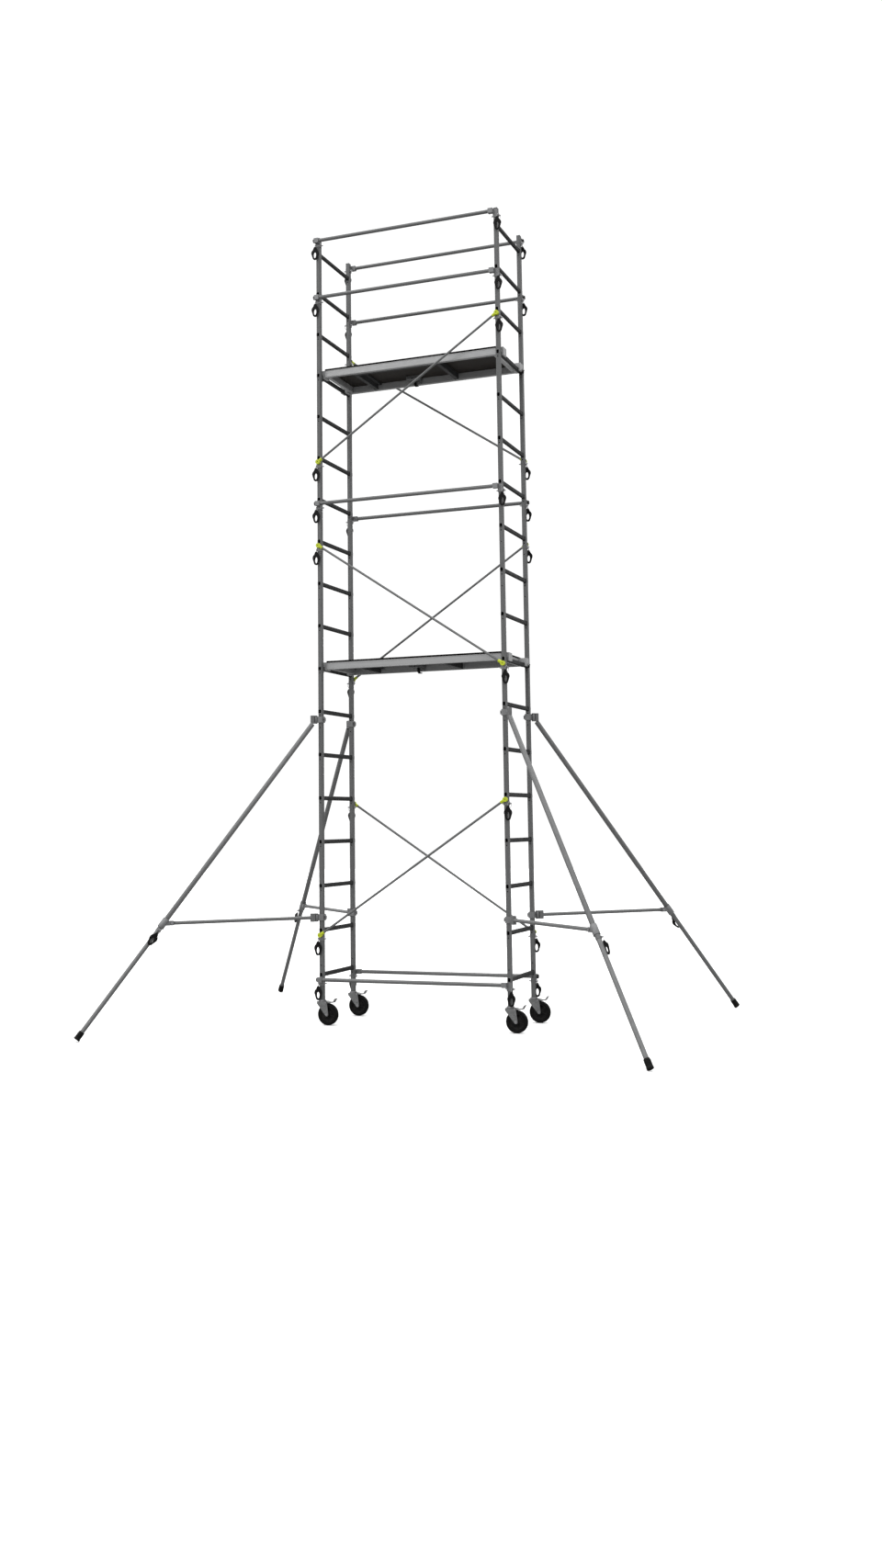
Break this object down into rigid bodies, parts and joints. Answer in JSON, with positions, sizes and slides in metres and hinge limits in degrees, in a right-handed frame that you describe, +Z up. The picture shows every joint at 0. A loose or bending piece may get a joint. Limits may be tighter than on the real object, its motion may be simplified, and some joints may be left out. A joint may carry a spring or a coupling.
{
  "type": "mobile scaffold tower",
  "caption": "Narrow rolling scaffold tower: ladder frames, guard rails, diagonal braces, trapdoor platforms, castors and stabilisers.",
  "frame": {"origin": "on the floor under the centre of the tower", "axes": "+X along the tower's length, the way the castors trail; +Y to the rear across its width; +Z up"},
  "size_m": [3.4826, 2.7106, 5.185],
  "materials": {
    "tube_aluminium": "satin extruded",
    "pale_aluminium": "satin",
    "rung_aluminium": "matte ribbed",
    "zinc_steel": "zinc plated",
    "black_plastic": "fine grain",
    "lime_clip": "moulded",
    "phenolic_board": "dark phenolic film",
    "castor_rubber": "matte",
    "castor_metal": "grey"
  },
  "bodies": {
    "tower": {"left_base_stiles": "tube_aluminium", "left_lower_stiles": "tube_aluminium", "left_upper_stiles": "tube_aluminium", "left_top_stiles": "tube_aluminium", "right_base_stiles": "tube_aluminium", "right_lower_stiles": "tube_aluminium", "right_upper_stiles": "tube_aluminium", "right_top_stiles": "tube_aluminium", "left_rungs": "rung_aluminium", "right_rungs": "rung_aluminium", "joint_spigots": "pale_aluminium", "joint_bolts": "zinc_steel", "base_rails": "tube_aluminium", "middle_rails": "tube_aluminium", "knee_rails": "tube_aluminium", "top_rails": "tube_aluminium", "rail_brackets": "pale_aluminium", "rail_end_caps": "black_plastic", "base_braces": "tube_aluminium", "middle_braces": "tube_aluminium", "top_braces": "tube_aluminium", "brace_clips": "lime_clip", "locking_pins": "zinc_steel", "pin_loops": "black_plastic", "lower_platform_frame": "pale_aluminium", "lower_deck": "phenolic_board", "upper_platform_frame": "pale_aluminium", "upper_deck": "phenolic_board", "platform_hooks": "pale_aluminium", "hatch_hinges": "zinc_steel", "castor_stems": "zinc_steel", "stabiliser_clamps": "pale_aluminium"},
    "castor_front_left": {"castor_fork_front_left": "castor_metal"},
    "wheel_front_left": {"castor_wheel_front_left": "castor_rubber"},
    "brake_front_left": {"brake_pedal_front_left": "castor_metal"},
    "stabiliser_front_left": {"stabiliser_leg_front_left": "tube_aluminium"},
    "foot_front_left": {"stabiliser_foot_front_left": "tube_aluminium"},
    "castor_front_right": {"castor_fork_front_right": "castor_metal"},
    "wheel_front_right": {"castor_wheel_front_right": "castor_rubber"},
    "brake_front_right": {"brake_pedal_front_right": "castor_metal"},
    "stabiliser_front_right": {"stabiliser_leg_front_right": "tube_aluminium"},
    "foot_front_right": {"stabiliser_foot_front_right": "tube_aluminium"},
    "castor_rear_left": {"castor_fork_rear_left": "castor_metal"},
    "wheel_rear_left": {"castor_wheel_rear_left": "castor_rubber"},
    "brake_rear_left": {"brake_pedal_rear_left": "castor_metal"},
    "stabiliser_rear_left": {"stabiliser_leg_rear_left": "tube_aluminium"},
    "foot_rear_left": {"stabiliser_foot_rear_left": "tube_aluminium"},
    "castor_rear_right": {"castor_fork_rear_right": "castor_metal"},
    "wheel_rear_right": {"castor_wheel_rear_right": "castor_rubber"},
    "brake_rear_right": {"brake_pedal_rear_right": "castor_metal"},
    "stabiliser_rear_right": {"stabiliser_leg_rear_right": "tube_aluminium"},
    "foot_rear_right": {"stabiliser_foot_rear_right": "tube_aluminium"},
    "lower_hatch": {"lower_hatch": "phenolic_board"},
    "lower_latch": {"lower_hatch_latch": "zinc_steel"},
    "lower_front_lever": {"lower_front_uplift_lever": "black_plastic"},
    "lower_rear_lever": {"lower_rear_uplift_lever": "black_plastic"},
    "upper_hatch": {"upper_hatch": "phenolic_board"},
    "upper_latch": {"upper_hatch_latch": "zinc_steel"},
    "upper_front_lever": {"upper_front_uplift_lever": "black_plastic"},
    "upper_rear_lever": {"upper_rear_uplift_lever": "black_plastic"}
  },
  "joints": [
    {"name": "castor_swivel_front_left", "type": "hinge", "parent": "tower", "child": "castor_front_left", "pos_m": [-0.6275, -0.2415, 0.149], "axis": [0, 0, 1], "continuous": true},
    {"name": "wheel_spin_front_left", "type": "hinge", "parent": "castor_front_left", "child": "wheel_front_left", "pos_m": [-0.5875, -0.2415, 0.0675], "axis": [0, 1, 0], "continuous": true},
    {"name": "brake_press_front_left", "type": "hinge", "parent": "castor_front_left", "child": "brake_front_left", "pos_m": [-0.5935, -0.2415, 0.143], "axis": [0, 1, 0], "range_deg": [0, 12]},
    {"name": "stabiliser_swing_front_left", "type": "hinge", "parent": "tower", "child": "stabiliser_front_left", "pos_m": [-0.6535, -0.2675, 1.942], "axis": [0, 0, 1], "range_deg": [-45, 45]},
    {"name": "foot_extend_front_left", "type": "slide", "parent": "stabiliser_front_left", "child": "foot_front_left", "axis": [-0.4363, -0.4363, -0.7869], "range_m": [-0.6, 0.1]},
    {"name": "castor_swivel_front_right", "type": "hinge", "parent": "tower", "child": "castor_front_right", "pos_m": [0.6275, -0.2415, 0.149], "axis": [0, 0, 1], "continuous": true},
    {"name": "wheel_spin_front_right", "type": "hinge", "parent": "castor_front_right", "child": "wheel_front_right", "pos_m": [0.6675, -0.2415, 0.0675], "axis": [0, 1, 0], "continuous": true},
    {"name": "brake_press_front_right", "type": "hinge", "parent": "castor_front_right", "child": "brake_front_right", "pos_m": [0.6615, -0.2415, 0.143], "axis": [0, 1, 0], "range_deg": [0, 12]},
    {"name": "stabiliser_swing_front_right", "type": "hinge", "parent": "tower", "child": "stabiliser_front_right", "pos_m": [0.6535, -0.2675, 1.942], "axis": [0, 0, 1], "range_deg": [-45, 45]},
    {"name": "foot_extend_front_right", "type": "slide", "parent": "stabiliser_front_right", "child": "foot_front_right", "axis": [0.4363, -0.4363, -0.7869], "range_m": [-0.6, 0.1]},
    {"name": "castor_swivel_rear_left", "type": "hinge", "parent": "tower", "child": "castor_rear_left", "pos_m": [-0.6275, 0.2415, 0.149], "axis": [0, 0, 1], "continuous": true},
    {"name": "wheel_spin_rear_left", "type": "hinge", "parent": "castor_rear_left", "child": "wheel_rear_left", "pos_m": [-0.5875, 0.2415, 0.0675], "axis": [0, 1, 0], "continuous": true},
    {"name": "brake_press_rear_left", "type": "hinge", "parent": "castor_rear_left", "child": "brake_rear_left", "pos_m": [-0.5935, 0.2415, 0.143], "axis": [0, 1, 0], "range_deg": [0, 12]},
    {"name": "stabiliser_swing_rear_left", "type": "hinge", "parent": "tower", "child": "stabiliser_rear_left", "pos_m": [-0.6535, 0.2675, 1.942], "axis": [0, 0, 1], "range_deg": [-45, 45]},
    {"name": "foot_extend_rear_left", "type": "slide", "parent": "stabiliser_rear_left", "child": "foot_rear_left", "axis": [-0.4363, 0.4363, -0.7869], "range_m": [-0.6, 0.1]},
    {"name": "castor_swivel_rear_right", "type": "hinge", "parent": "tower", "child": "castor_rear_right", "pos_m": [0.6275, 0.2415, 0.149], "axis": [0, 0, 1], "continuous": true},
    {"name": "wheel_spin_rear_right", "type": "hinge", "parent": "castor_rear_right", "child": "wheel_rear_right", "pos_m": [0.6675, 0.2415, 0.0675], "axis": [0, 1, 0], "continuous": true},
    {"name": "brake_press_rear_right", "type": "hinge", "parent": "castor_rear_right", "child": "brake_rear_right", "pos_m": [0.6615, 0.2415, 0.143], "axis": [0, 1, 0], "range_deg": [0, 12]},
    {"name": "stabiliser_swing_rear_right", "type": "hinge", "parent": "tower", "child": "stabiliser_rear_right", "pos_m": [0.6535, 0.2675, 1.942], "axis": [0, 0, 1], "range_deg": [-45, 45]},
    {"name": "foot_extend_rear_right", "type": "slide", "parent": "stabiliser_rear_right", "child": "foot_rear_right", "axis": [0.4363, 0.4363, -0.7869], "range_m": [-0.6, 0.1]},
    {"name": "lower_hatch_hinge", "type": "hinge", "parent": "tower", "child": "lower_hatch", "pos_m": [-0.105, -0.149, 2.33], "axis": [1, 0, 0], "range_deg": [0, 100]},
    {"name": "lower_latch_slide", "type": "slide", "parent": "lower_hatch", "child": "lower_latch", "axis": [0, -1, 0], "range_m": [0, 0.012], "stiffness_N_per_m": 200},
    {"name": "lower_front_lever_turn", "type": "hinge", "parent": "tower", "child": "lower_front_lever", "pos_m": [-0.6555, -0.19, 2.279], "axis": [0, 1, 0], "range_deg": [0, 100]},
    {"name": "lower_rear_lever_turn", "type": "hinge", "parent": "tower", "child": "lower_rear_lever", "pos_m": [0.6555, 0.19, 2.279], "axis": [0, -1, 0], "range_deg": [0, 100]},
    {"name": "upper_hatch_hinge", "type": "hinge", "parent": "tower", "child": "upper_hatch", "pos_m": [-0.105, -0.149, 4.29], "axis": [1, 0, 0], "range_deg": [0, 100]},
    {"name": "upper_latch_slide", "type": "slide", "parent": "upper_hatch", "child": "upper_latch", "axis": [0, -1, 0], "range_m": [0, 0.012], "stiffness_N_per_m": 200},
    {"name": "upper_front_lever_turn", "type": "hinge", "parent": "tower", "child": "upper_front_lever", "pos_m": [-0.6555, -0.19, 4.239], "axis": [0, 1, 0], "range_deg": [0, 100]},
    {"name": "upper_rear_lever_turn", "type": "hinge", "parent": "tower", "child": "upper_rear_lever", "pos_m": [0.6555, 0.19, 4.239], "axis": [0, -1, 0], "range_deg": [0, 100]}
  ]
}
